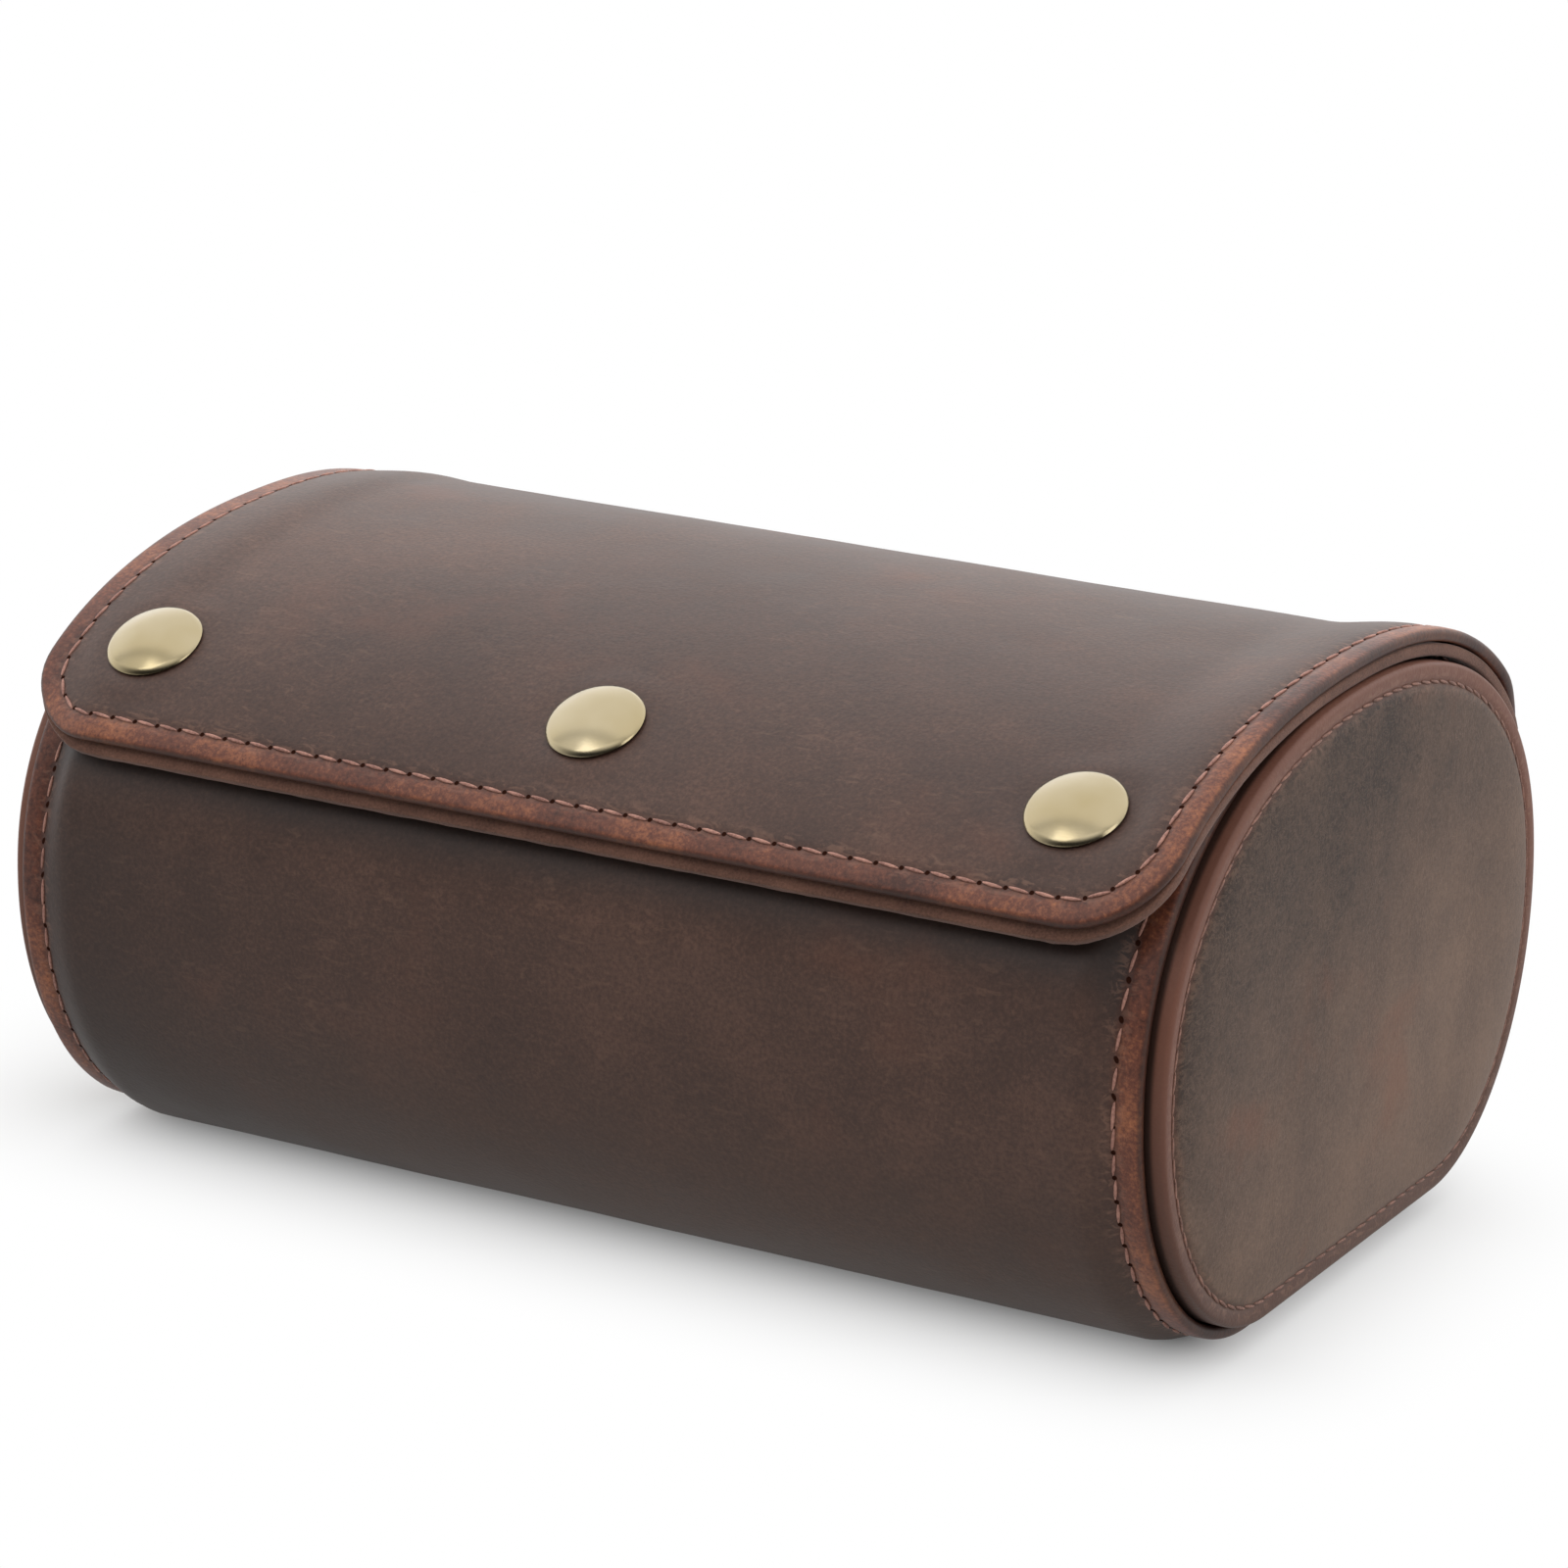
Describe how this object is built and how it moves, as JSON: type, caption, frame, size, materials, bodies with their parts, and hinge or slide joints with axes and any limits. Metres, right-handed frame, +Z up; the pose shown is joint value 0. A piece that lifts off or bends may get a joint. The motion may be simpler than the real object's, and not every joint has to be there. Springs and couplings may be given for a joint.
{
  "type": "watch roll",
  "caption": "Leather watch roll with a stitched snap-down flap, padded end panels, suede lining, dividers and lift-out watch pillows.",
  "frame": {"origin": "on the floor, in the middle of the roll's footprint", "axes": "+X along the roll, to the right as seen from the front; +Y to the back, where the flap is hinged; +Z up"},
  "size_m": [0.1994, 0.1322, 0.096],
  "materials": {
    "body_leather": "dark brown pull-up leather, waxed, soft sheen",
    "end_leather": "greyer brown pull-up leather, waxed",
    "suede": "brown microsuede, matt nap",
    "stiffener": "pressed fibreboard",
    "foam": "open foam padding",
    "antique_brass": "brushed antique brass plating",
    "plated_steel": "dull plating"
  },
  "bodies": {
    "case": {"wrap_leather": "body_leather", "wrap_board": "stiffener", "wrap_lining": "suede", "end_leather_left": "end_leather", "end_foam_left": "foam", "end_board_left": "stiffener", "end_lining_left": "suede", "divider_left": "suede", "end_leather_right": "end_leather", "end_foam_right": "foam", "end_board_right": "stiffener", "end_lining_right": "suede", "divider_right": "suede", "snap_stud_left": "antique_brass", "snap_stud_middle": "antique_brass", "snap_stud_right": "antique_brass", "snap_eyelet_left": "plated_steel", "snap_eyelet_middle": "plated_steel", "snap_eyelet_right": "plated_steel"},
    "flap": {"flap_leather": "body_leather", "flap_lining": "suede", "snap_cap_left": "antique_brass", "snap_cap_middle": "antique_brass", "snap_cap_right": "antique_brass", "snap_socket_left": "antique_brass", "snap_socket_middle": "antique_brass", "snap_socket_right": "antique_brass"},
    "pillow_left": {"pillow_band_left": "suede", "pillow_end_left_a": "suede", "pillow_end_left_b": "suede", "pillow_core_left": "foam"},
    "pillow_middle": {"pillow_band_middle": "suede", "pillow_end_middle_a": "suede", "pillow_end_middle_b": "suede", "pillow_core_middle": "foam"},
    "pillow_right": {"pillow_band_right": "suede", "pillow_end_right_a": "suede", "pillow_end_right_b": "suede", "pillow_core_right": "foam"}
  },
  "joints": [
    {"name": "flap_hinge", "type": "hinge", "parent": "case", "child": "flap", "pos_m": [0, 0.0604, 0.06813], "axis": [-1, 0, 0], "range_deg": [0, 150]},
    {"name": "pillow_slide_left", "type": "slide", "parent": "case", "child": "pillow_left", "axis": [0, 0.196, 0.9806], "range_m": [0, 0.085]},
    {"name": "pillow_slide_middle", "type": "slide", "parent": "case", "child": "pillow_middle", "axis": [0, 0.196, 0.9806], "range_m": [0, 0.085]},
    {"name": "pillow_slide_right", "type": "slide", "parent": "case", "child": "pillow_right", "axis": [0, 0.196, 0.9806], "range_m": [0, 0.085]}
  ],
  "couplings": [
    {"joint": "pillow_slide_left", "follows": "flap_hinge", "m_per_rad": 0.03246},
    {"joint": "pillow_slide_middle", "follows": "flap_hinge", "m_per_rad": 0.03246},
    {"joint": "pillow_slide_right", "follows": "flap_hinge", "m_per_rad": 0.03246}
  ]
}
